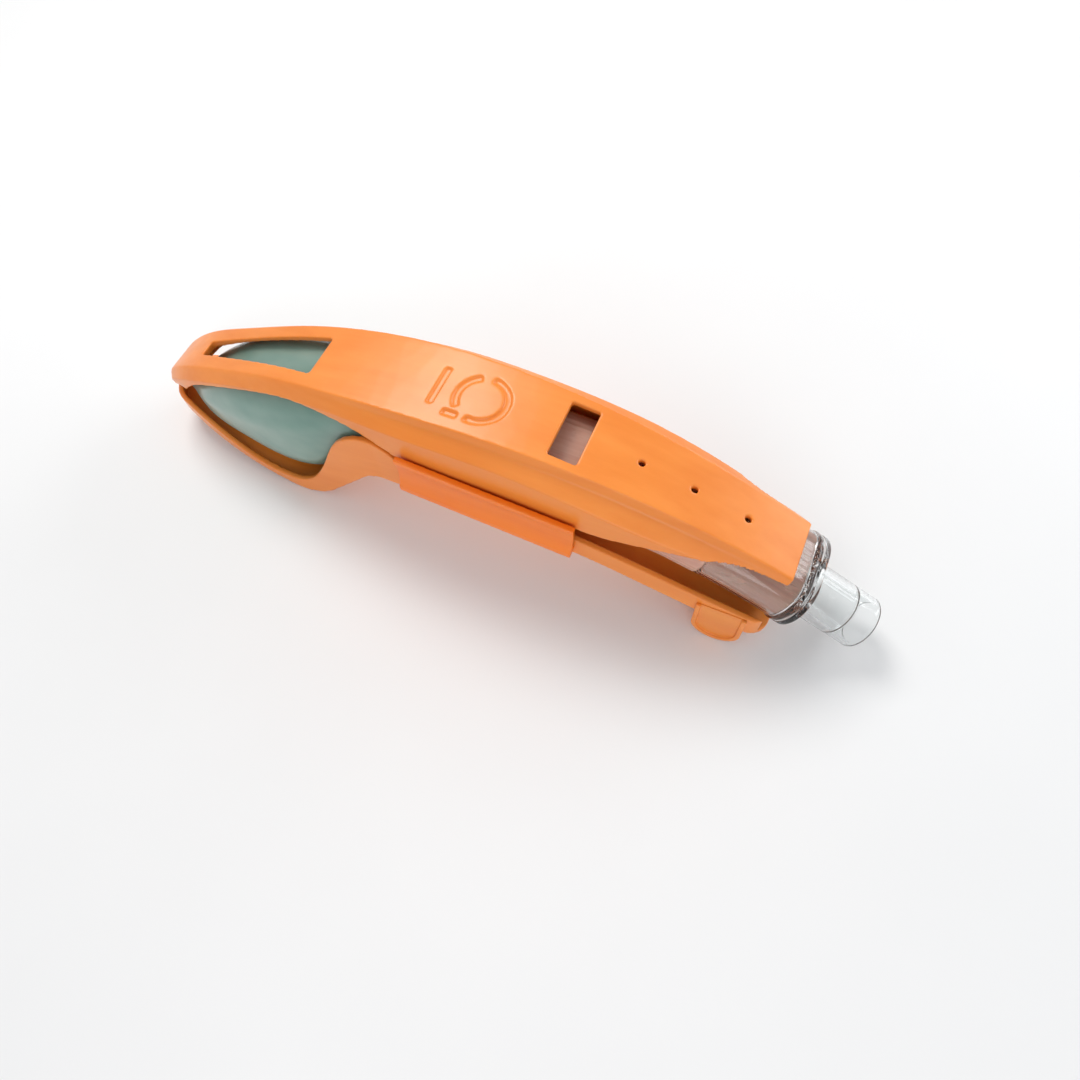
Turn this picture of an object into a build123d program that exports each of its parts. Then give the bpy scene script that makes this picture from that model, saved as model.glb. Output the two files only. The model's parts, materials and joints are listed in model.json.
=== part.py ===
"""Size 5 supraglottic airway lying in its hinged protective cradle.

Frame: millimetres, +Z up, +X towards the 15 mm connector, origin under the middle of the
whole object at the level of the surface it stands on. The cradle base stands still, the
lid swings up about the living hinge at the tip, and the airway lifts out from between them.
"""

from build123d import *
import os
from math import cos, degrees, radians, sin, sqrt, tan

os.makedirs("parts", exist_ok=True)

# ---- driving dimensions, mm and degrees ---------------------------------------------
# Lid: a shell whose crown is one circular arch in side view
arch_radius = 200.0
crown_height = 53.0
arch_x = 0.9
lid_wall = 1.6
lid_half_width = 15.8
lid_start_angle = -31.5  # the nose begins here, measured from the crown
lid_end_angle = 26.0
mark_depth = 0.6
mark_stroke = 1.9
nose_hollow_half_width = 6.0
window_x = 27.9
window_length = 7.6
window_half_width = 8.2
window_corner = 0.5
vent_hole_diameter = 1.8
vent_hole_places = (45.5, 59.3, 73.5)
slot_start = (-91.0, 2.6)  # narrow end of the slot over the cuff: place and half width
slot_end = (-45.4, 6.4)
slot_corner = 0.8

# Base: ladle-shaped bowl, strap, side clips and feet
base_wall = 1.7
tip_x = -110.0
bowl_x = -57.0
bowl_bend = 16.0  # radius of the bend under the bowl
bowl_slope = 8.4
heel_slope = 45.0
bowl_half_width = 18.4
strap_start = (-23.0, 22.7)
strap_bend = (34.0, 21.0)
strap_end = (94.0, 7.4)  # the floor line runs past the outline
base_end_x = 88.0
strap_half_width = 15.7
end_corner = 6.0
clip_start_x = -16.5
clip_end_x = 34.0
clip_start_z = 24.8
clip_angle = 4.0  # slope of the channel below the horizontal
clip_height = 15.0
clip_wall = 0.8
clip_floor = 2.4
clip_gap = 0.9  # between the lid's skirt and the clip
clip_reach = 18.5
clip_flange = 1.6  # depth of the top flange
clip_lip = 2.0  # height of the bottom lip
clip_step = 0.2  # how far the top flange stands back from the lip
foot_x = 75.6
foot_half_length = 6.8
foot_top = 17.4
foot_proud = 1.0  # beyond the side of the strap
foot_dish = 0.7  # how far the face is sunk inside the raised rim
foot_rim = 1.3

# Airway
tube_width = 26.0
tube_height = 16.4
tube_bend = 155.0
flange_place = (88.6, 20.3)
flange_slope = 27.5
lumen_diameter = 11.4
lumen_web = 1.9  # between the lumen and the gastric channel
gastric_bore = 4.0
gastric_wall = 0.4
gastric_margin = 0.7  # between the gastric channel and the bite block
bite_length = 24.0
bite_wall = 0.9
bite_lip = 1.2
flange_width = 26.8
flange_height = 18.0
flange_thickness = 1.6
flange_groove = 0.8
groove_depth = 1.2
connector_diameter = 15.0
connector_wall = 1.3
connector_step = 7.0  # depth of the wider mouth
connector_bore = 10.8
connector_length = 20.5
spigot_length = 16.0
spigot_wall = 1.0

# Living hinge across the tip
hinge_foot = (-109.3, 10.6)
hinge_head = (-108.4, 14.4)
hinge_width = 9.0
hinge_wall = 0.6

arch_z = crown_height - arch_radius
reach = 80.0  # cutting solids pass the object on every side
overrun = 4.0  # side outlines pass the plan outline at both ends


def side_plane(x, z, angle):
    """Section plane across the object: local x is crosswise, local y points outwards."""
    a = radians(angle)
    return Plane(origin=(x, 0, z), x_dir=(0, 1, 0), z_dir=(cos(a), 0, -sin(a)))


def arch_point(radius, angle):
    """Place in side view at a radius and an angle from the crown of the lid's arch."""
    a = radians(angle)
    return arch_x + radius * sin(a), arch_z + radius * cos(a)


def arch_height(x, radius):
    """Height of a circle about the arch's centre."""
    return arch_z + sqrt(radius**2 - (x - arch_x) ** 2)


# ---- lid ------------------------------------------------------------------------------
# Stations: angle, crest half width, shoulder half width, drop beside the crest, depth of
# the shoulder edge below the crown, and how far the skirt runs before it is trimmed
lid_stations = (
    (lid_start_angle, 5.8, 8.6, 0.5, 2.2, 10.0),
    (-24.0, 8.0, 11.2, 0.6, 3.0, 22.0),
    (-17.2, 9.6, 12.6, 0.8, 3.6, 24.0),
    (-11.5, 11.0, 14.0, 1.2, 4.4, 24.0),
    (-4.8, 11.8, lid_half_width, 2.2, 5.0, 24.0),
    (3.8, 11.2, lid_half_width, 2.6, 5.2, 24.0),
    (11.5, 10.2, lid_half_width, 2.8, 5.4, 24.0),
    (17.3, 9.4, 14.8, 2.6, 5.2, 24.0),
    (22.0, 8.8, 12.6, 1.8, 3.8, 24.0),
    (lid_end_angle, 8.3, 9.6, 0.8, 1.6, 24.0),
)
# The nose turns down to the hinge: place, slope and the same section values
nose_stations = (
    (-109.0, 14.4, -76.0, 4.0, 6.2, 0.3, 1.2, 2.6),
    (-107.4, 19.6, -54.0, 4.8, 7.4, 0.4, 1.8, 6.0),
)


def lid_section(crest, shoulder, drop, depth, skirt, inset):
    """Corners of half of the lid's section, for its outside or, inset, its inside."""
    return [
        (crest - 0.5 * inset, -inset),
        (crest + 0.8 - 0.5 * inset, -drop - inset),
        (shoulder - inset, -depth - inset),
        (shoulder - inset, -depth - skirt - inset),
    ]


def lid_body(inset):
    """Closed solid inside the lid's outer faces, moved in by the inset."""
    places = [(*arch_point(arch_radius, a), a, *rest) for a, *rest in lid_stations]
    if inset == 0.0:
        places = [*nose_stations, *places]
    with BuildPart() as body:
        for x, z, angle, *values in places:
            with BuildSketch(side_plane(x, z, angle)):
                with BuildLine():
                    right = lid_section(*values, inset)
                    left = [(-u, v) for u, v in reversed(right)]
                    Polyline(*right, *left, close=True)
                make_face()
        loft()
    return body.part


# Lower edge of the skirt in side view: up from the tip, over the lobes, then along the strap
lid_edge_tip = ((-112, 11), (-105, 13.4), (-93, 24.4), (-81, 30.6), (-63, 38), (-48, 42.4))
lid_edge_lobe = ((-38, 42.6), (-28, 41.4), (-18, 37.4), (-10, 35))
lid_edge_side = ((34, 33.4), (41, 33.4), (52, 35.2), (66, 36.6), (80, 34.2), (92, 29))

with BuildPart() as lid_trim:
    with BuildSketch(Plane.XZ):
        with BuildLine():
            Spline(*lid_edge_tip, *lid_edge_lobe)
            Line(lid_edge_lobe[-1], lid_edge_side[0])
            Spline(*lid_edge_side)
            Polyline(lid_edge_side[-1], (reach * 2, -reach), (-reach * 2, -reach), lid_edge_tip[0])
        make_face()
    extrude(amount=reach, both=True)

nose_hollow = ((-107.2, 5), (-107.2, 14), (-105.4, 18.4), (-101.6, 21.8), (-92, 28), (-92, 5))

with BuildPart() as size_mark:
    with BuildSketch(Plane.XY.offset(arch_height(0, arch_radius - reach))):
        with BuildLine():
            Line((-8.6, -6.0), (-8.6, 5.6))
            Line((-4.4, -7.2), (-0.2, -7.2))
            CenterArc((3.4, -0.6), 6.6, 112, 106)
            CenterArc((3.4, -0.6), 6.6, -104, 190)
        trace(line_width=mark_stroke)
    extrude(amount=2 * reach)
    with BuildSketch(Plane.XZ):
        with Locations((arch_x, arch_z)):
            Circle(arch_radius - mark_depth)
    extrude(amount=reach, both=True, mode=Mode.SUBTRACT)

lid_outside = lid_body(0.0)
lid_inside = lid_body(lid_wall)
with BuildPart() as lid:
    add(lid_outside)
    add(lid_inside, mode=Mode.SUBTRACT)
    add(lid_trim.part, mode=Mode.SUBTRACT)
    with BuildSketch(Plane.XZ.offset(-nose_hollow_half_width)):
        with BuildLine():
            Polyline(*nose_hollow, close=True)
        make_face()
    extrude(amount=2 * nose_hollow_half_width, mode=Mode.SUBTRACT)
    with BuildSketch(Plane.XY):
        with Locations((window_x, 0)):
            RectangleRounded(window_length, 2 * window_half_width, window_corner)
        with Locations([(x, 0) for x in vent_hole_places]):
            Circle(vent_hole_diameter / 2)
        with BuildLine():
            far_side = [slot_start, slot_end]
            near_side = [(x, -half_width) for x, half_width in reversed(far_side)]
            FilletPolyline(*far_side, *near_side, radius=slot_corner, close=True)
        make_face()
    extrude(amount=reach, mode=Mode.SUBTRACT)
    add(size_mark.part, mode=Mode.SUBTRACT)

# ---- cradle base ----------------------------------------------------------------------
half_wall = base_wall / 2


def floor_line():
    """Side view of the middle of the base's floor, from the tip to the strap's end."""
    lift = half_wall + bowl_bend
    start = -90 - bowl_slope
    turn = bowl_slope + heel_slope
    touch_x = bowl_x - bowl_bend * sin(radians(bowl_slope))
    touch_z = lift - bowl_bend * cos(radians(bowl_slope))
    start_x = tip_x - overrun
    start_z = touch_z + (touch_x - start_x) * tan(radians(bowl_slope))
    heel_x = bowl_x + bowl_bend * sin(radians(heel_slope))
    heel_z = lift - bowl_bend * cos(radians(heel_slope))
    corner_x = heel_x + (strap_start[1] - heel_z) / tan(radians(heel_slope))
    Line((start_x, start_z), (touch_x, touch_z))
    CenterArc((bowl_x, lift), bowl_bend, start, turn)
    FilletPolyline((heel_x, heel_z), (corner_x, strap_start[1]), strap_bend, strap_end, radius=(9, 140))
    return start_x, start_z


def base_outline(inset, end):
    """Half of the base's plan outline, moved in by the inset, from the tip to the strap's end."""
    w = strap_half_width - inset
    belly = (bowl_x, bowl_half_width - inset)
    cheek = (-103.0, 9.8 - inset)
    heel = (-33.0, w + 1.0)
    neck = (-24.0, w)
    ThreePointArc((tip_x + inset, 0), (-108.2 + inset * 0.8, 5.8 - inset * 0.6), cheek)
    ThreePointArc(cheek, (-80.0, 16.2 - inset), belly)
    ThreePointArc(belly, (-45.0, 17.7 - inset), heel)
    Line(heel, neck)
    FilletPolyline(neck, (end, w), (end, 0), radius=end_corner)


# Top of the rim in side view, from the strap's end over the lobes and along the bowl
rim_edge = ((strap_end[0], 15.6), (60, 22), (34, 27), (0, 29.6), (-13, 31.6))
lobe_edge = ((-19, 36.4), (-26.5, 39.4), (-33.5, 36.4), (-41, 25), (-47.5, 13.4), (-54, 6.6))
bowl_edge = ((-63, 5), (-80, 7.6), (tip_x - overrun, 11.2))

with BuildPart() as base_floor:
    with BuildSketch(Plane.XZ.offset(-reach)):
        with BuildLine():
            floor_line()
        trace(line_width=base_wall)
    extrude(amount=2 * reach)
    with BuildSketch(Plane.XY.offset(-reach)):
        with BuildLine():
            base_outline(0.0, base_end_x)
            mirror(about=Plane.XZ)
        make_face()
    extrude(amount=2 * reach, mode=Mode.INTERSECT)

with BuildPart() as base_rim:
    with BuildSketch(Plane.XZ.offset(-reach)):
        with BuildLine():
            start = floor_line()
            Line(strap_end, rim_edge[0])
            Spline(*rim_edge, *lobe_edge, *bowl_edge)
            Line(bowl_edge[-1], start)
        make_face()
    extrude(amount=2 * reach)
    with BuildSketch(Plane.XY.offset(-reach)):
        with BuildLine():
            base_outline(0.0, base_end_x)
            mirror(about=Plane.XZ)
        make_face()
        with BuildLine():
            base_outline(base_wall, base_end_x + 2 * end_corner)
            mirror(about=Plane.XZ)
        make_face(mode=Mode.SUBTRACT)
    extrude(amount=2 * reach, mode=Mode.INTERSECT)

with BuildPart() as cradle_base:
    add(base_floor.part)
    add(base_rim.part)


# ---- side clips: straight channels outside the strap that take the lid's skirt ----------
clip_inner = lid_half_width + clip_gap
clip_root = strap_half_width - base_wall
clip_length = (clip_end_x - clip_start_x) / cos(radians(clip_angle))


def clip_profile(side):
    """Section of a clip: floor, thin dished wall, top flange and bottom lip."""
    top_reach = clip_reach - clip_step
    lip = (side * clip_reach, clip_lip)
    waist = (side * (clip_inner + clip_wall), clip_height / 2)
    flange = (side * top_reach, clip_height - clip_flange)
    Polyline((side * clip_root, 0), (side * clip_reach, 0), lip)
    ThreePointArc(lip, waist, flange)
    Polyline(
        flange,
        (side * top_reach, clip_height),
        (side * clip_inner, clip_height),
        (side * clip_inner, clip_floor),
        (side * clip_root, clip_floor),
        (side * clip_root, 0),
    )


def clip_part(side):
    """One clip, cut back to the faces of the base."""
    with BuildPart() as clip:
        with BuildSketch(side_plane(clip_start_x, clip_start_z, clip_angle)):
            with BuildLine():
                clip_profile(side)
            make_face()
        extrude(amount=clip_length)
        add(cradle_base.part, mode=Mode.SUBTRACT)
    # keep the channel and drop what the cut leaves inside the strap
    outer = clip.part.solids().sort_by(Axis.Y)[0 if side < 0 else -1]
    return Part([outer])


clips = {"side_clip_left": clip_part(1), "side_clip_right": clip_part(-1)}

# ---- feet: half-round tabs under the strap ----------------------------------------------


def foot_part(side):
    """One half-round tab with a raised rim, cut back to the strap."""
    with BuildPart() as foot:
        inner = side * (strap_half_width - base_wall)
        thickness = base_wall + foot_proud
        with BuildSketch(Plane.XZ.offset(-inner)):
            with Locations((foot_x, foot_half_length)):
                Circle(foot_half_length)
            with Locations((foot_x, (foot_half_length + foot_top) / 2)):
                Rectangle(2 * foot_half_length, foot_top - foot_half_length)
        extrude(amount=-side * thickness)
        with BuildSketch(Plane.XZ.offset(-side * (strap_half_width + foot_proud - foot_dish))):
            with Locations((foot_x, foot_half_length)):
                Circle(foot_half_length - foot_rim)
            with Locations((foot_x, (foot_half_length + foot_top) / 2)):
                Rectangle(2 * (foot_half_length - foot_rim), foot_top - foot_half_length)
        extrude(amount=-side * thickness, mode=Mode.SUBTRACT)
        add(cradle_base.part, mode=Mode.SUBTRACT)
    lowest = foot.part.solids().sort_by(Axis.Z)[0]
    return Part([lowest])


feet = {"foot_left": foot_part(1), "foot_right": foot_part(-1)}

# ---- living hinge across the tip --------------------------------------------------------
with BuildPart() as tip_hinge:
    with BuildSketch(Plane.XZ.offset(-hinge_width / 2)):
        with BuildLine():
            Line(hinge_foot, hinge_head)
        trace(line_width=hinge_wall)
    extrude(amount=hinge_width)
    add(cradle_base.part, mode=Mode.SUBTRACT)
    add(lid.part, mode=Mode.SUBTRACT)

# ---- airway ---------------------------------------------------------------------------
bend_x = flange_place[0] - tube_bend * sin(radians(flange_slope))
bend_z = flange_place[1] - tube_bend * cos(radians(flange_slope))
bend_axis = Axis((bend_x, 0, bend_z), (0, 1, 0))
cuff_angle = -15.5  # where the tube leaves the cuff


def tube_plane(angle):
    """Section plane of the tube at an angle from the top of its bend."""
    a = radians(angle)
    return side_plane(bend_x + tube_bend * sin(a), bend_z + tube_bend * cos(a), angle)


def tube_run(start, end, width, height, mode=Mode.ADD):
    """A length of oval tube about the bend's centre."""
    with BuildSketch(tube_plane(start)) as section:
        SlotOverall(width, height)
    revolve(section.sketch, axis=bend_axis, revolution_arc=end - start, mode=mode)


def tube_bore(start, end, y, diameter, mode=Mode.SUBTRACT):
    """A round channel along the bend."""
    with BuildSketch(tube_plane(start)) as section:
        with Locations((y, 0)):
            Circle(diameter / 2)
    revolve(section.sketch, axis=bend_axis, revolution_arc=end - start, mode=mode)


def arc_degrees(length):
    """Angle that a length of tube turns through."""
    return degrees(length / tube_bend)


gastric_outside = gastric_bore + 2 * gastric_wall
gastric_y = tube_width / 2 - bite_wall - gastric_margin - gastric_outside / 2
lumen_y = gastric_y - gastric_outside / 2 - lumen_web - lumen_diameter / 2
spigot_bore = lumen_diameter - 2 * spigot_wall
flange_plane = tube_plane(flange_slope)
flange_start = bite_lip + flange_groove
flange_end = flange_start + flange_thickness
bite_start = flange_slope - arc_degrees(bite_length)
waist_width = tube_width - 2 * bite_wall  # of the tube inside the bite block
waist_height = tube_height - 2 * bite_wall

with BuildPart() as airway_tube:
    tube_run(cuff_angle, bite_start, tube_width, tube_height)
    tube_run(bite_start, flange_slope, waist_width, waist_height)
    tube_bore(cuff_angle, flange_slope, lumen_y, lumen_diameter)
    tube_bore(cuff_angle, flange_slope, gastric_y, gastric_outside)

with BuildPart() as gastric_channel:
    tube_bore(cuff_angle, flange_slope, gastric_y, gastric_outside, mode=Mode.ADD)
    with BuildSketch(flange_plane):
        with Locations((gastric_y, 0)):
            Circle(gastric_outside / 2)
    extrude(amount=flange_end)
    tube_bore(cuff_angle, flange_slope, gastric_y, gastric_bore)
    with BuildSketch(flange_plane):
        with Locations((gastric_y, 0)):
            Circle(gastric_bore / 2)
    extrude(amount=flange_end, mode=Mode.SUBTRACT)

with BuildPart() as bite_block:
    tube_run(bite_start, flange_slope, tube_width, tube_height)
    tube_run(bite_start, flange_slope, waist_width, waist_height, mode=Mode.SUBTRACT)
    with BuildSketch(flange_plane):
        SlotOverall(flange_width, flange_height)
        with Locations((lumen_y, 0)):
            Circle(lumen_diameter / 2, mode=Mode.SUBTRACT)
        with Locations((gastric_y, 0)):
            Circle(gastric_outside / 2, mode=Mode.SUBTRACT)
    extrude(amount=bite_lip)

with BuildPart() as connector:
    with BuildSketch(flange_plane.offset(bite_lip)):
        SlotOverall(flange_width - 2 * groove_depth, flange_height - 2 * groove_depth)
    extrude(amount=flange_groove)
    with BuildSketch(flange_plane.offset(flange_start)):
        SlotOverall(flange_width, flange_height)
    extrude(amount=flange_thickness)
    with BuildSketch(flange_plane):
        with Locations((lumen_y, 0)):
            Circle(lumen_diameter / 2)
    extrude(amount=bite_lip)
    with BuildSketch(flange_plane.offset(flange_end)):
        with Locations((lumen_y, 0)):
            Circle(connector_diameter / 2)
    extrude(amount=connector_length)
    spigot_start = flange_slope - arc_degrees(spigot_length)
    tube_bore(spigot_start, flange_slope, lumen_y, lumen_diameter, mode=Mode.ADD)
    tube_bore(spigot_start, flange_slope, lumen_y, spigot_bore)
    with BuildSketch(flange_plane):
        with Locations((lumen_y, 0)):
            Circle(spigot_bore / 2)
    extrude(amount=flange_end, mode=Mode.SUBTRACT)
    with BuildSketch(flange_plane.offset(flange_end)):
        with Locations((lumen_y, 0)):
            Circle(connector_bore / 2)
    extrude(amount=connector_length, mode=Mode.SUBTRACT)
    with BuildSketch(flange_plane.offset(flange_end + connector_length - connector_step)):
        with Locations((lumen_y, 0)):
            Circle(connector_diameter / 2 - connector_wall)
    extrude(amount=connector_step, mode=Mode.SUBTRACT)
    with BuildSketch(flange_plane):
        with Locations((gastric_y, 0)):
            Circle(gastric_outside / 2)
    extrude(amount=flange_end, mode=Mode.SUBTRACT)

# Cuff: place along X, height of the middle, half width and half height
cuff_stations = (
    (-104.3, 13.0, 3.6, 2.6),
    (-98.0, 14.2, 6.8, 4.6),
    (-88.0, 17.2, 11.4, 9.4),
    (-76.0, 19.8, 14.2, 13.8),
    (-64.0, 21.4, 15.8, 17.0),
    (-52.0, 23.6, 15.6, 18.4),
    (-42.0, 28.4, 13.8, 15.6),
    (-33.5, 32.8, 13.2, 10.0),
)
cuff_end = tube_plane(cuff_angle)
cuff_roundness = 0.74  # corner radius as a share of the smaller half size
bowl_middle = (-66.0, 0, 3.0)  # laryngeal opening, facing the bowl of the base
bowl_size = (24.0, 10.0, 13.5)
lumen_entry = 5.0  # how far past the bowl's middle the lumen is cut, along and up

bowl_shape = scale(Sphere(1).rotate(Axis.X, 90), by=bowl_size)  # poles on the sides, clear of the cuff

with BuildPart() as gel_cuff:
    for x, z, half_width, half_height in cuff_stations:
        with BuildSketch(side_plane(x, z, 0)):
            corner = cuff_roundness * min(half_width, half_height)
            RectangleRounded(2 * half_width, 2 * half_height, corner)
    with BuildSketch(cuff_end):
        RectangleRounded(tube_width + 0.4, tube_height + 0.4, tube_height / 2)
    loft()
    with Locations(Location(bowl_middle, (0, bowl_slope, 0))):
        add(bowl_shape, mode=Mode.SUBTRACT)
    lumen_from = cuff_end.from_local_coords((lumen_y, 0, 0))
    lumen_to = Vector(bowl_middle[0] + lumen_entry, 0, bowl_middle[2] + lumen_entry)
    with BuildSketch(Plane(origin=lumen_from, z_dir=lumen_to - lumen_from)):
        Circle(lumen_diameter / 2)
    extrude(amount=(lumen_to - lumen_from).length, mode=Mode.SUBTRACT)
    gastric_from = cuff_end.from_local_coords((gastric_y, 0, 0))
    gastric_to = Vector(cuff_stations[0][0] - 2.0, 0, cuff_stations[0][1])
    with BuildSketch(Plane(origin=gastric_from, z_dir=gastric_to - gastric_from)):
        Circle(gastric_bore / 2)
    extrude(amount=(gastric_to - gastric_from).length, mode=Mode.SUBTRACT)

# ---- files ------------------------------------------------------------------------------
pieces = {
    "cradle_lid": lid.part,
    "cradle_base": cradle_base.part,
    "tip_hinge": tip_hinge.part,
    "gel_cuff": gel_cuff.part,
    "airway_tube": airway_tube.part,
    "gastric_channel": gastric_channel.part,
    "bite_block": bite_block.part,
    "connector_15mm": connector.part,
    **clips,
    **feet,
}
boxes = [piece.bounding_box() for piece in pieces.values()]
middle_x = (min(box.min.X for box in boxes) + max(box.max.X for box in boxes)) / 2
to_frame = Location((-middle_x, 0, 0))
for name, piece in pieces.items():
    placed = piece.moved(to_frame)
    placed.label = name
    export_step(placed, f"parts/{name}.step")

hinge_middle = (Vector(*hinge_foot) + Vector(*hinge_head)) / 2
print(f"hinge axis: x {hinge_middle.X - middle_x:.3f}, z {hinge_middle.Y:.3f}")
for name, depth in (("flange face", flange_end), ("open end", flange_end + connector_length)):
    place = flange_plane.offset(depth).from_local_coords((lumen_y, 0, 0))
    print(f"connector's {name}: x {place.X - middle_x:.3f}, z {place.Z:.3f}")
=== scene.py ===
"""Looks of a gel-cuff airway in its hinged orange cradle: moulded shells with softened edges,
a gel cuff, an elastomer tube and clear plastic end parts, on a pale floor."""

import json
import math

import bpy
import bmesh
from mathutils import Matrix, Vector, noise


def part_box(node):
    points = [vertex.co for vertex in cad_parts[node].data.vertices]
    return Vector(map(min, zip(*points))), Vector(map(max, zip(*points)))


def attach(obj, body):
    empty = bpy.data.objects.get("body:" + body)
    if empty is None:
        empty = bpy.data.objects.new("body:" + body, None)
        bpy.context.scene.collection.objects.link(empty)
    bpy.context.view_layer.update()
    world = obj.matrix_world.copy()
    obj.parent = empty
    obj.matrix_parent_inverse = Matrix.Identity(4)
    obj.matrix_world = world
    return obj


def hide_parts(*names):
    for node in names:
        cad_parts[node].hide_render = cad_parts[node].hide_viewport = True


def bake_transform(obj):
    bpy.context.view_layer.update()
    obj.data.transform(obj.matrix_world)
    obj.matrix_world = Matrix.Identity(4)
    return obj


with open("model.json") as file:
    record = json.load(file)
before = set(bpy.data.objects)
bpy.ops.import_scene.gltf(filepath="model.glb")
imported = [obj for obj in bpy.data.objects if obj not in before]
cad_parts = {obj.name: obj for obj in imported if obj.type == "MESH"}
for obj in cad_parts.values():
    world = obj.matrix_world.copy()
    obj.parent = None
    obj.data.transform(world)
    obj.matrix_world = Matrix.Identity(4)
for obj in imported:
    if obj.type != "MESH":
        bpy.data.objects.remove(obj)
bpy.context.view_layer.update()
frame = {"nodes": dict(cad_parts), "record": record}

MM = 0.001
EVEN = (1.0, 1.0, 1.0)  # noise that isn't stretched
mounts = {m["name"]: m for m in frame["record"]["mounts"]}


# ---- materials --------------------------------------------------------------------------
class Shader:
    """A Principled material under construction, with a few short ways to add nodes."""

    def __init__(self, name, **values):
        self.material = bpy.data.materials.new(name)
        self.material.use_nodes = True
        self.tree = self.material.node_tree
        self.bsdf = self.tree.nodes["Principled BSDF"]
        for socket, value in values.items():
            self.bsdf.inputs[socket.replace("_", " ")].default_value = value
        self.place = self.node("ShaderNodeTexCoord").outputs["Object"]

    def node(self, kind, **inputs):
        made = self.tree.nodes.new(kind)
        for socket, value in inputs.items():
            made.inputs[socket.replace("_", " ")].default_value = value
        return made

    def link(self, output, to):
        self.tree.links.new(output, to)

    def noise(self, stretch, scale, detail=4.0, roughness=0.55):
        """Noise in the object's own space, stretched by three factors."""
        mapping = self.node("ShaderNodeMapping", Scale=stretch)
        self.link(self.place, mapping.inputs["Vector"])
        texture = self.node("ShaderNodeTexNoise", Scale=scale, Detail=detail, Roughness=roughness)
        self.link(mapping.outputs["Vector"], texture.inputs["Vector"])
        return texture.outputs["Fac"]

    def ramp(self, value, stops):
        """Colours or greys over a value from 0 to 1."""
        ramp = self.node("ShaderNodeValToRGB")
        self.link(value, ramp.inputs["Fac"])
        elements = ramp.color_ramp.elements
        while len(elements) < len(stops):
            elements.new(0.5)
        for element, (position, colour) in zip(elements, stops):
            element.position = position
            element.color = colour
        return ramp.outputs["Color"]

    def mix(self, value, low, high):
        """Float that runs from low to high as value goes from 0 to 1."""
        step = self.node("ShaderNodeMapRange", To_Min=low, To_Max=high)
        self.link(value, step.inputs["Value"])
        return step.outputs["Result"]

    def bump(self, value, distance, strength, below=None):
        made = self.node("ShaderNodeBump", Strength=strength, Distance=distance)
        self.link(value, made.inputs["Height"])
        if below is not None:
            self.link(below, made.inputs["Normal"])
        return made.outputs["Normal"]


def grey(value):
    return (value, value, value, 1.0)


def moulded_plastic(name, light, deep, roughness):
    """Satin polypropylene: flow streaks along the part, fine grain and slight translucency."""
    s = Shader(
        name,
        Subsurface_Weight=0.12,
        Subsurface_Scale=0.0015,
        IOR=1.46,
        Coat_Weight=0.12,
        Coat_Roughness=0.2,
    )
    s.bsdf.inputs["Subsurface Radius"].default_value = (1.0, 0.35, 0.08)
    streaks = s.noise((6.0, 90.0, 90.0), 2.4, detail=5.0)
    clouds = s.noise(EVEN, 22.0, detail=2.0)
    streak_share = 0.6
    both = s.node("ShaderNodeMath")
    both.operation = "MULTIPLY_ADD"
    both.inputs[1].default_value = streak_share
    s.link(streaks, both.inputs[0])
    s.link(s.mix(clouds, 0.0, 1.0 - streak_share), both.inputs[2])
    s.link(s.ramp(both.outputs[0], ((0.32, deep), (0.68, light))), s.bsdf.inputs["Base Color"])
    polish = s.noise(EVEN, 140.0)
    s.link(s.mix(polish, roughness - 0.05, roughness + 0.08), s.bsdf.inputs["Roughness"])
    grain = s.noise(EVEN, 1400.0, detail=2.0)
    flow = s.bump(streaks, 0.00012, 0.25)
    s.link(s.bump(grain, 0.00003, 0.22, below=flow), s.bsdf.inputs["Normal"])
    return s.material


def gel(name, light, deep):
    """Soft translucent gel with cloudy depth and a wet sheen."""
    s = Shader(
        name,
        Subsurface_Weight=0.75,
        Subsurface_Scale=0.006,
        Roughness=0.3,
        IOR=1.42,
        Coat_Weight=0.35,
        Coat_Roughness=0.12,
    )
    s.bsdf.inputs["Subsurface Radius"].default_value = (0.7, 1.0, 0.9)
    clouds = s.noise((1.0, 1.6, 1.6), 28.0, detail=3.0)
    s.link(s.ramp(clouds, ((0.3, deep), (0.7, light))), s.bsdf.inputs["Base Color"])
    s.link(s.mix(s.noise(EVEN, 260.0), 0.24, 0.42), s.bsdf.inputs["Roughness"])
    s.link(s.bump(s.noise(EVEN, 420.0, detail=3.0), 0.00008, 0.3), s.bsdf.inputs["Normal"])
    return s.material


def elastomer(name, light, deep):
    """Translucent tube with fine extrusion lines along it."""
    s = Shader(
        name,
        Subsurface_Weight=0.5,
        Subsurface_Scale=0.005,
        IOR=1.4,
        Transmission_Weight=0.3,
        Coat_Weight=0.2,
    )
    s.bsdf.inputs["Subsurface Radius"].default_value = (1.0, 0.7, 0.7)
    lines = s.noise((4.0, 220.0, 60.0), 2.0, detail=4.0)
    s.link(s.ramp(lines, ((0.3, deep), (0.7, light))), s.bsdf.inputs["Base Color"])
    s.link(s.mix(lines, 0.16, 0.34), s.bsdf.inputs["Roughness"])
    s.link(s.bump(lines, 0.0001, 0.35), s.bsdf.inputs["Normal"])
    return s.material


def clear_plastic(name, tint):
    """Clear moulded plastic with faint ripples in its polish."""
    s = Shader(name, Base_Color=tint, Transmission_Weight=1.0, IOR=1.46, Roughness=0.03)
    s.link(s.mix(s.noise(EVEN, 90.0), 0.015, 0.07), s.bsdf.inputs["Roughness"])
    s.link(s.bump(s.noise((8.0, 60.0, 60.0), 2.5), 0.0001, 0.12), s.bsdf.inputs["Normal"])
    return s.material


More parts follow.
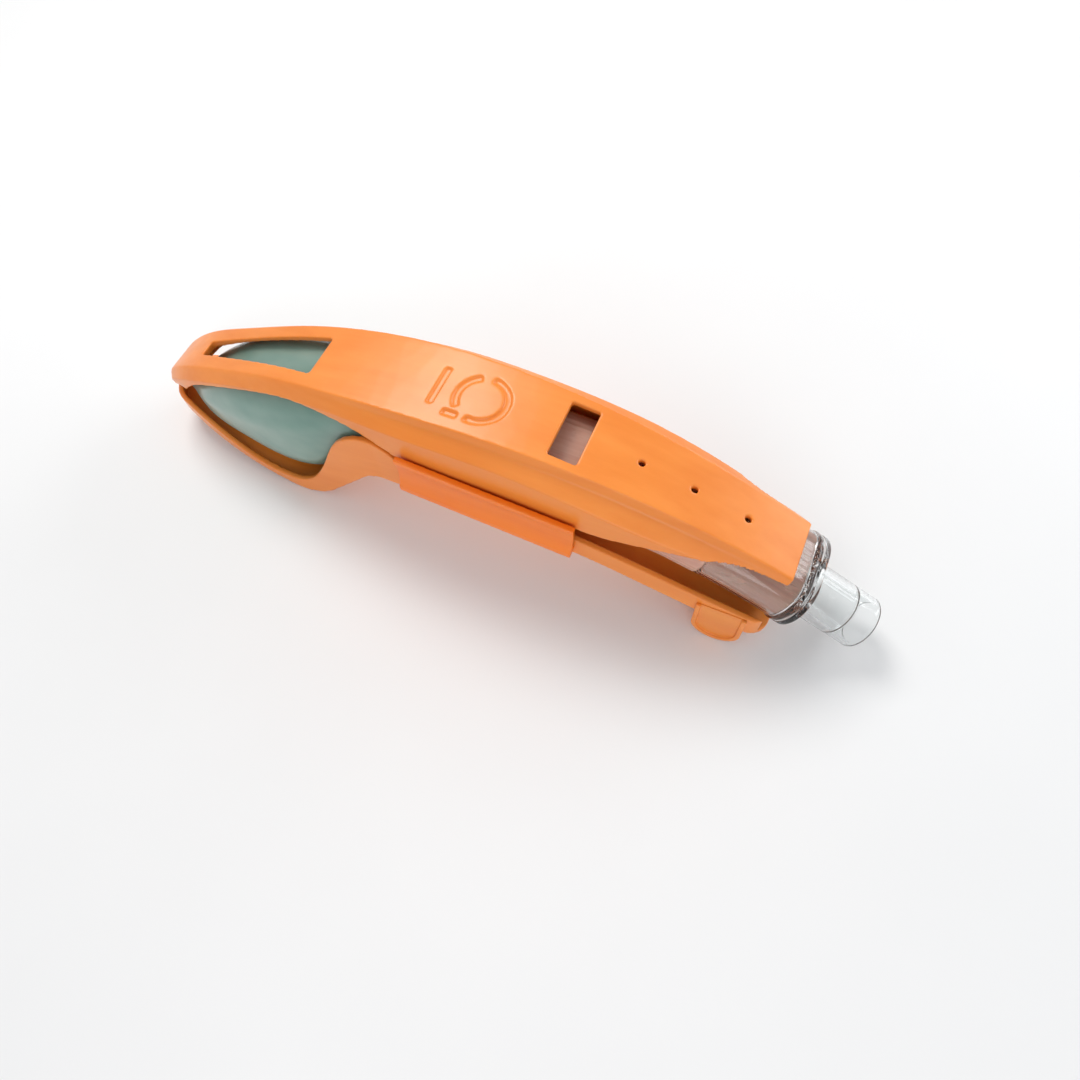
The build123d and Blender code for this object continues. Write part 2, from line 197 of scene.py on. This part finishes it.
ORANGE = moulded_plastic("orange_polypropylene", (0.90, 0.285, 0.045, 1), (0.80, 0.215, 0.022, 1), 0.33)
# Same polypropylene as the rest of the moulding; the clips get a darker, more saturated orange as painted
# shade of their side faces.
ORANGE_SHADED_CLIP = moulded_plastic("orange_clip", (0.98, 0.23, 0.008, 1), (0.86, 0.165, 0.003, 1), 0.36)
GEL = gel("cuff_gel", (0.28, 0.39, 0.335, 1), (0.13, 0.26, 0.215, 1))
TUBE = elastomer("tube_elastomer", (0.92, 0.56, 0.42, 1), (0.76, 0.40, 0.30, 1))
CHANNEL = elastomer("channel_elastomer", (0.76, 0.62, 0.60, 1), (0.62, 0.46, 0.44, 1))
CLEAR = clear_plastic("clear_plastic", (0.93, 0.95, 0.95, 1))
CLEAR_SOFT = clear_plastic("clear_bite_block", (0.95, 0.93, 0.92, 1))


# ---- mesh helpers -------------------------------------------------------------------------
WELD = 0.002  # mm, vertices nearer than this become one


def finish_piece(obj, material, body, nodes):
    """Material, smooth shading, and what the piece stands for."""
    obj.data.materials.clear()
    obj.data.materials.append(material)
    for face in obj.data.polygons:
        face.use_smooth = True
        face.material_index = 0
    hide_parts(*nodes)
    if body:
        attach(obj, body)
    return obj


def new_object(name, mesh):
    obj = bpy.data.objects.new(name, mesh)
    bpy.context.scene.collection.objects.link(obj)
    return obj


def applied(obj):
    """The object's mesh with its modifiers worked in."""
    graph = bpy.context.evaluated_depsgraph_get()
    mesh = bpy.data.meshes.new_from_object(obj.evaluated_get(graph))
    obj.modifiers.clear()
    obj.data = mesh
    return obj


def modifier(obj, kind, **values):
    made = obj.modifiers.new(kind.lower(), kind)
    for name, value in values.items():
        setattr(made, name, value)
    return made


def moulded(name, nodes, voxel, rounds, faces):
    """Copy of CAD nodes whose edges are softened as a mould leaves them, with at most faces triangles."""
    mesh = bpy.data.meshes.new(name)
    work = bmesh.new()
    for node in nodes:
        work.from_mesh(frame["nodes"][node].data)
    bmesh.ops.remove_doubles(work, verts=work.verts, dist=WELD * MM)
    work.to_mesh(mesh)
    work.free()
    obj = new_object(name, mesh)
    modifier(obj, "REMESH", mode="VOXEL", voxel_size=voxel * MM, adaptivity=0.0)
    modifier(obj, "SMOOTH", factor=0.5, iterations=rounds)
    applied(obj)
    triangles = 2 * len(obj.data.polygons)
    if triangles > faces:
        modifier(obj, "DECIMATE", ratio=faces / triangles)
        applied(obj)
    return obj


def shift_points(obj, move):
    """Move each vertex by what move gives for its place and normal."""
    points = [(vertex.co.copy(), vertex.normal.copy()) for vertex in obj.data.vertices]
    for vertex, (place, normal) in zip(obj.data.vertices, points):
        vertex.co = place + move(place, normal)


# ---- cradle -------------------------------------------------------------------------------
def orange_pieces():
    lid = moulded("lid_shell", ["cradle_lid"], voxel=0.3, rounds=3, faces=190000)
    finish_piece(lid, ORANGE, "lid", ["cradle_lid"])
    base = moulded("base_shell", ["cradle_base"], voxel=0.32, rounds=4, faces=190000)
    finish_piece(base, ORANGE, "cradle", ["cradle_base"])
    for side in ("left", "right"):
        clip = moulded(f"clip_channel_{side}", [f"side_clip_{side}"], voxel=0.22, rounds=4, faces=60000)
        # The clip channels carry the darker orange: painted shade of their side faces.
        finish_piece(clip, ORANGE_SHADED_CLIP, "cradle", [f"side_clip_{side}"])
        foot = moulded(f"foot_tab_{side}", [f"foot_{side}"], voxel=0.18, rounds=4, faces=30000)
        finish_piece(foot, ORANGE, "cradle", [f"foot_{side}"])


def hinge_web():
    """Thin web across the tip, thinned along its middle where the real hinge folds."""
    low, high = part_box("tip_hinge")
    rows, columns = 24, 36
    thickness = 0.45 * MM
    inset = 0.1 * MM
    thinning, fold = 0.5, 0.16
    mesh = bpy.data.meshes.new("hinge_web")
    work = bmesh.new()
    sheet = []
    for i in range(rows + 1):
        t = i / rows
        thin = 1.0 - thinning * math.exp(-(((t - 0.5) / fold) ** 2))
        row = []
        for side in (-1, 1):
            for j in range(columns + 1):
                u = 2 * j / columns - 1
                x = low.x + inset + (high.x - low.x - thickness - inset) * t
                x += thickness / 2 + side * thin * thickness / 2
                row.append(work.verts.new((x, side * u * high.y, low.z + (high.z - low.z) * t)))
        sheet.append(row)
    around = len(sheet[0])
    for a, b in zip(sheet, sheet[1:]):
        for j in range(around):
            k = (j + 1) % around
            work.faces.new((a[j], a[k], b[k], b[j]))
    work.faces.new(reversed(sheet[0]))
    work.faces.new(sheet[-1])
    bmesh.ops.recalc_face_normals(work, faces=work.faces)
    work.to_mesh(mesh)
    work.free()
    web = new_object("hinge_web", mesh)
    finish_piece(web, ORANGE, None, ["tip_hinge"])
    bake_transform(web)


# ---- airway -------------------------------------------------------------------------------
BEND = 155.0  # mm, radius of the tube's centre line; lengths along the airway are in mm too
outside = mounts["connector_outside"]
AXIS = Vector(outside["axis"])
OUT = Vector((-AXIS.z, 0, AXIS.x))  # crosswise to the axis, away from the bend's centre
SIDE = Vector((0, 1, 0))
LENGTH = outside["dims"]["length_mm"]
FLANGE_END = 3.6
END_PLANE = Vector(outside["pos_m"]) - AXIS * (LENGTH / 2 + FLANGE_END) * MM
LUMEN_Y = END_PLANE.y / MM
END_PLANE.y = 0.0


def station(s):
    """Centre and outward direction at a distance s past the tube's end; before it, on the bend."""
    if s >= 0:
        return END_PLANE + AXIS * s * MM, OUT
    turn = Matrix.Rotation(s / BEND, 3, "Y")
    outward = turn @ OUT
    return END_PLANE + (outward - OUT) * BEND * MM, outward


def ring(work, s, half_width, half_height, y, count=112):
    """One oval or round loop of points across the airway."""
    centre, outward = station(s)
    straight = half_width - half_height
    points = []
    for i in range(count):
        t = 2 * math.pi * (i + 0.5) / count
        across = half_height * math.cos(t) + math.copysign(straight, math.cos(t)) + y
        points.append(work.verts.new(centre + (SIDE * across + outward * half_height * math.sin(t)) * MM))
    return points


def ring_body(name, loops):
    """A closed body through its loops in turn, the last joined to the first."""
    mesh = bpy.data.meshes.new(name)
    work = bmesh.new()
    rows = [ring(work, *loop) for loop in loops]
    for a, b in zip(rows, [*rows[1:], rows[0]]):
        for i in range(len(a)):
            j = (i + 1) % len(a)
            work.faces.new((a[i], a[j], b[j], b[i]))
    bmesh.ops.recalc_face_normals(work, faces=work.faces)
    work.to_mesh(mesh)
    work.free()
    return new_object(name, mesh)


def along(start, end, step=1.0):
    """Distances from start to end, evenly spaced, both included."""
    count = max(1, round(abs(end - start) / step))
    return [start + (end - start) * i / count for i in range(count + 1)]


def drill(obj, y, radius, start, end):
    """Cut a round hole along the axis through a body."""
    tool = bpy.data.meshes.new("drill")
    work = bmesh.new()
    ends = [ring(work, s, radius, radius, y, count=48) for s in (start, end)]
    for i in range(len(ends[0])):
        j = (i + 1) % len(ends[0])
        work.faces.new((ends[0][i], ends[0][j], ends[1][j], ends[1][i]))
    work.faces.new(ends[0])
    work.faces.new(reversed(ends[1]))
    bmesh.ops.recalc_face_normals(work, faces=work.faces)
    work.to_mesh(tool)
    work.free()
    cutter = new_object("drill", tool)
    modifier(obj, "BOOLEAN", operation="DIFFERENCE", object=cutter, solver="EXACT")
    applied(obj)
    bpy.data.objects.remove(cutter)


GASTRIC_Y = mounts["gastric_port"]["pos_m"][1] / MM
GASTRIC_OUTSIDE = 2.42
BORE = 5.4
MOUTH = mounts["connector_mouth"]["dims"]["r_mm"]
MOUTH_DEPTH = mounts["connector_mouth"]["dims"]["length_mm"]
RADIUS = outside["dims"]["r_mm"]
TUBE_OVAL = 4.8  # half width less half height
LIP_OVAL = 4.4
TUBE_HALF_HEIGHT = 8.2
TUBE_HALF_WIDTH = TUBE_HALF_HEIGHT + TUBE_OVAL


def oval(spread, places):
    """Loops of one oval, from distances along the airway and half heights."""
    return [(s, height + spread, height, 0.0) for s, height in places]


def circle(places):
    """Round loops about the gas way, from distances along the airway and radii."""
    return [(s, radius, radius, LUMEN_Y) for s, radius in places]


def connector():
    """Spigot, grooved flange and 15 mm outside with a stepped mouth, in one moulding."""
    spigot, spigot_bore, spigot_end = 5.66, 4.7, -16.0
    end = FLANGE_END + LENGTH
    step = end - MOUTH_DEPTH
    loops = circle([(spigot_end, spigot - 0.5), (-15.5, spigot)])
    loops += circle((s, spigot) for s in along(-14.5, 1.1))
    loops += circle([(1.22, spigot), (1.24, 6.4)])
    loops += oval(LIP_OVAL, [(1.24, 7.6), (1.3, 7.8), (1.9, 7.8), (1.98, 8.0), (2.0, 8.6), (2.08, 8.85)])
    loops += oval(LIP_OVAL, [(2.3, 8.98), (3.3, 8.98), (3.52, 8.85), (FLANGE_END, 8.6)])
    loops += circle([(FLANGE_END, RADIUS + 0.9), (3.66, RADIUS + 0.45), (3.9, RADIUS + 0.12), (4.4, RADIUS)])
    loops += circle((s, RADIUS) for s in along(5.4, end - 0.7, 2.0))
    loops += circle([(end - 0.35, RADIUS), (end - 0.1, RADIUS - 0.12), (end, RADIUS - 0.35)])
    loops += circle([(end, MOUTH + 0.3), (end - 0.1, MOUTH + 0.08), (end - 0.35, MOUTH)])
    loops += circle((s, MOUTH) for s in along(end - 1.4, step + 0.3, 2.0))
    loops += circle([(step + 0.08, MOUTH - 0.08), (step, MOUTH - 0.3)])
    loops += circle([(step, BORE + 0.2), (step - 0.15, BORE)])
    loops += circle((s, BORE) for s in along(step - 1.2, 4.1, 2.0))
    loops += circle([(FLANGE_END, BORE - 0.1), (3.2, spigot_bore)])
    loops += circle((s, spigot_bore) for s in along(2.4, -15.8))
    loops += circle([(spigot_end, spigot_bore + 0.15)])
    piece = ring_body("connector", loops)
    drill(piece, GASTRIC_Y, GASTRIC_OUTSIDE, 0.4, 6.0)
    finish_piece(piece, CLEAR, "airway", ["connector_15mm"])
    bevel_normals(piece)


def bite_sleeve():
    """Clear rigid sleeve over the tube's end, with a lip."""
    sleeve_end = -24.0
    outer = TUBE_HALF_HEIGHT
    inner, hole = 7.32, 5.74
    loops = oval(TUBE_OVAL, [(sleeve_end, 7.7), (-23.9, 8.05), (-23.6, outer)])
    loops += oval(TUBE_OVAL, ((s, outer) for s in [*along(-23.0, -0.8, 0.6), -0.4]))
    loops += [(-0.1, 13.1, 8.4, 0.0)]
    loops += oval(LIP_OVAL, [(0.0, 8.8), (0.15, 8.98), (1.05, 8.98), (1.2, 8.8)])
    loops += circle([(1.2, 6.6), (1.1, hole), (0.1, hole), (0.0, 6.2)])
    loops += oval(TUBE_OVAL, [(0.0, 7.1), (-0.1, 7.3)])
    loops += oval(TUBE_OVAL, ((s, inner) for s in along(-1.0, -23.7)))
    loops += oval(TUBE_OVAL, [(sleeve_end, 7.45)])
    piece = ring_body("bite_sleeve", loops)
    drill(piece, GASTRIC_Y, GASTRIC_OUTSIDE, -0.6, 2.0)
    finish_piece(piece, CLEAR_SOFT, "airway", ["bite_block"])
    bevel_normals(piece)


def bevel_normals(obj):
    """Keep flat faces flat beside their small round edges."""
    modifier(obj, "WEIGHTED_NORMAL", keep_sharp=True, weight=60)
    applied(obj)


def soft_tube():
    """Oval tube, flatter and fuller on its hidden side, lined with shallow ridges along the bend."""
    obj = moulded("oval_tube", ["airway_tube"], voxel=0.42, rounds=3, faces=190000)
    centre = END_PLANE - OUT * BEND * MM
    ridge, pitch = 0.07 * MM, 1.7 * MM
    half_width, half_height = TUBE_HALF_WIDTH * MM, TUBE_HALF_HEIGHT * MM
    fullness, depth, sideways = 1.16, 1.22, 0.35
    middle, spread = math.radians(2.0), math.radians(13.0)

    def move(place, normal):
        x, z = place.x - centre.x, place.z - centre.z
        outward = Vector((x, 0, z)).normalized()
        height = math.hypot(x, z) - BEND * MM
        across = place.y * (1 - abs(normal.y)) + height * abs(normal.y)
        shift = normal * ridge * math.sin(2 * math.pi * across / pitch)
        share = max(0.0, 1 - ((math.atan2(x, z) - middle) / spread) ** 2)
        if height < 0:
            corner = min(1.0, abs(place.y) / half_width) * min(1.0, -height / half_height)
            grown = height * (depth - 1) + height * (fullness - 1) * corner
            widened = place.y * (fullness - 1) * sideways * corner
            shift += (outward * grown + SIDE * widened) * share
        return shift

    shift_points(obj, move)
    finish_piece(obj, TUBE, "airway", ["airway_tube"])


def side_channel():
    channel = moulded("side_channel", ["gastric_channel"], voxel=0.16, rounds=2, faces=90000)
    finish_piece(channel, CHANNEL, "airway", ["gastric_channel"])


def cuff():
    """Soft cuff with slight hollows in its skin, a little fuller where it rests in the bowl."""
    obj = moulded("soft_cuff", ["gel_cuff"], voxel=0.55, rounds=14, faces=150000)
    wave, depth = 55.0, 0.25 * MM
    fuller, upper = 0.45 * MM, 0.35

    def move(place, normal):
        under = min(1.0, max(0.0, upper - normal.z) / upper)
        return normal * (depth * noise.noise(place * wave) + fuller * under)

    shift_points(obj, move)
    finish_piece(obj, GEL, "airway", ["gel_cuff"])


orange_pieces()
hinge_web()
connector()
bite_sleeve()
soft_tube()
side_channel()
cuff()


# ---- floor, lights and camera ---------------------------------------------------------------
def floor():
    mesh = bpy.data.meshes.new("floor")
    work = bmesh.new()
    bmesh.ops.create_grid(work, x_segments=8, y_segments=8, size=1.6)
    work.to_mesh(mesh)
    work.free()
    obj = new_object("floor", mesh)
    s = Shader("pale_floor", Roughness=0.55)
    shade = s.ramp(s.noise(EVEN, 6.0), ((0.3, grey(0.80)), (0.7, grey(0.83))))
    s.link(shade, s.bsdf.inputs["Base Color"])
    obj.data.materials.append(s.material)
    obj.location.z = -0.05 * MM


def soft_light(name, place, size, watts, colour):
    """An area light that looks at the object's middle."""
    data = bpy.data.lights.new(name, "AREA")
    data.shape = "RECTANGLE"
    data.size, data.size_y = size
    data.energy = watts
    data.color = colour
    lamp = bpy.data.objects.new(name, data)
    lamp.location = place
    middle = Vector((0, 0, 0.03))
    lamp.rotation_euler = (middle - Vector(place)).to_track_quat("-Z", "Y").to_euler()
    bpy.context.scene.collection.objects.link(lamp)


def world_light(colour, strength):
    world = bpy.data.worlds.new("studio")
    world.use_nodes = True
    background = world.node_tree.nodes["Background"]
    background.inputs["Color"].default_value = colour
    background.inputs["Strength"].default_value = strength
    bpy.context.scene.world = world


def camera():
    """The camera looks down along the object from beyond its connector end."""
    azimuth, elevation, roll = (math.radians(a) for a in (29.03, 62.81, -5.89))
    place = Vector((69.1, -99.9, 207.0)) * MM
    back = Vector((
        math.sin(azimuth) * math.cos(elevation),
        -math.cos(azimuth) * math.cos(elevation),
        math.sin(elevation),
    ))
    level = Vector((math.cos(azimuth), math.sin(azimuth), 0))
    upright = back.cross(level)
    right = level * math.cos(roll) + upright * math.sin(roll)
    up = upright * math.cos(roll) - level * math.sin(roll)
    data = bpy.data.cameras.new("camera")
    data.sensor_width = 36.0
    data.lens = 25.9
    data.clip_start = 0.01
    obj = bpy.data.objects.new("camera", data)
    obj.matrix_world = Matrix.Translation(place) @ Matrix((right, up, back)).transposed().to_4x4()
    bpy.context.scene.collection.objects.link(obj)
    bpy.context.scene.camera = obj


floor()
soft_light("key", (-0.30, 0.25, 0.60), (0.30, 0.30), 2.75, (1.0, 0.98, 0.95))
soft_light("rim", (0.45, 0.55, 0.35), (0.6, 0.25), 1.9, (0.97, 0.99, 1.0))
soft_light("fill", (0.25, -0.6, 0.35), (0.5, 0.5), 1.5, (1.0, 1.0, 1.0))
world_light((0.95, 0.97, 1.0, 1.0), 0.56)
camera()
bpy.context.scene.view_settings.view_transform = "Standard"
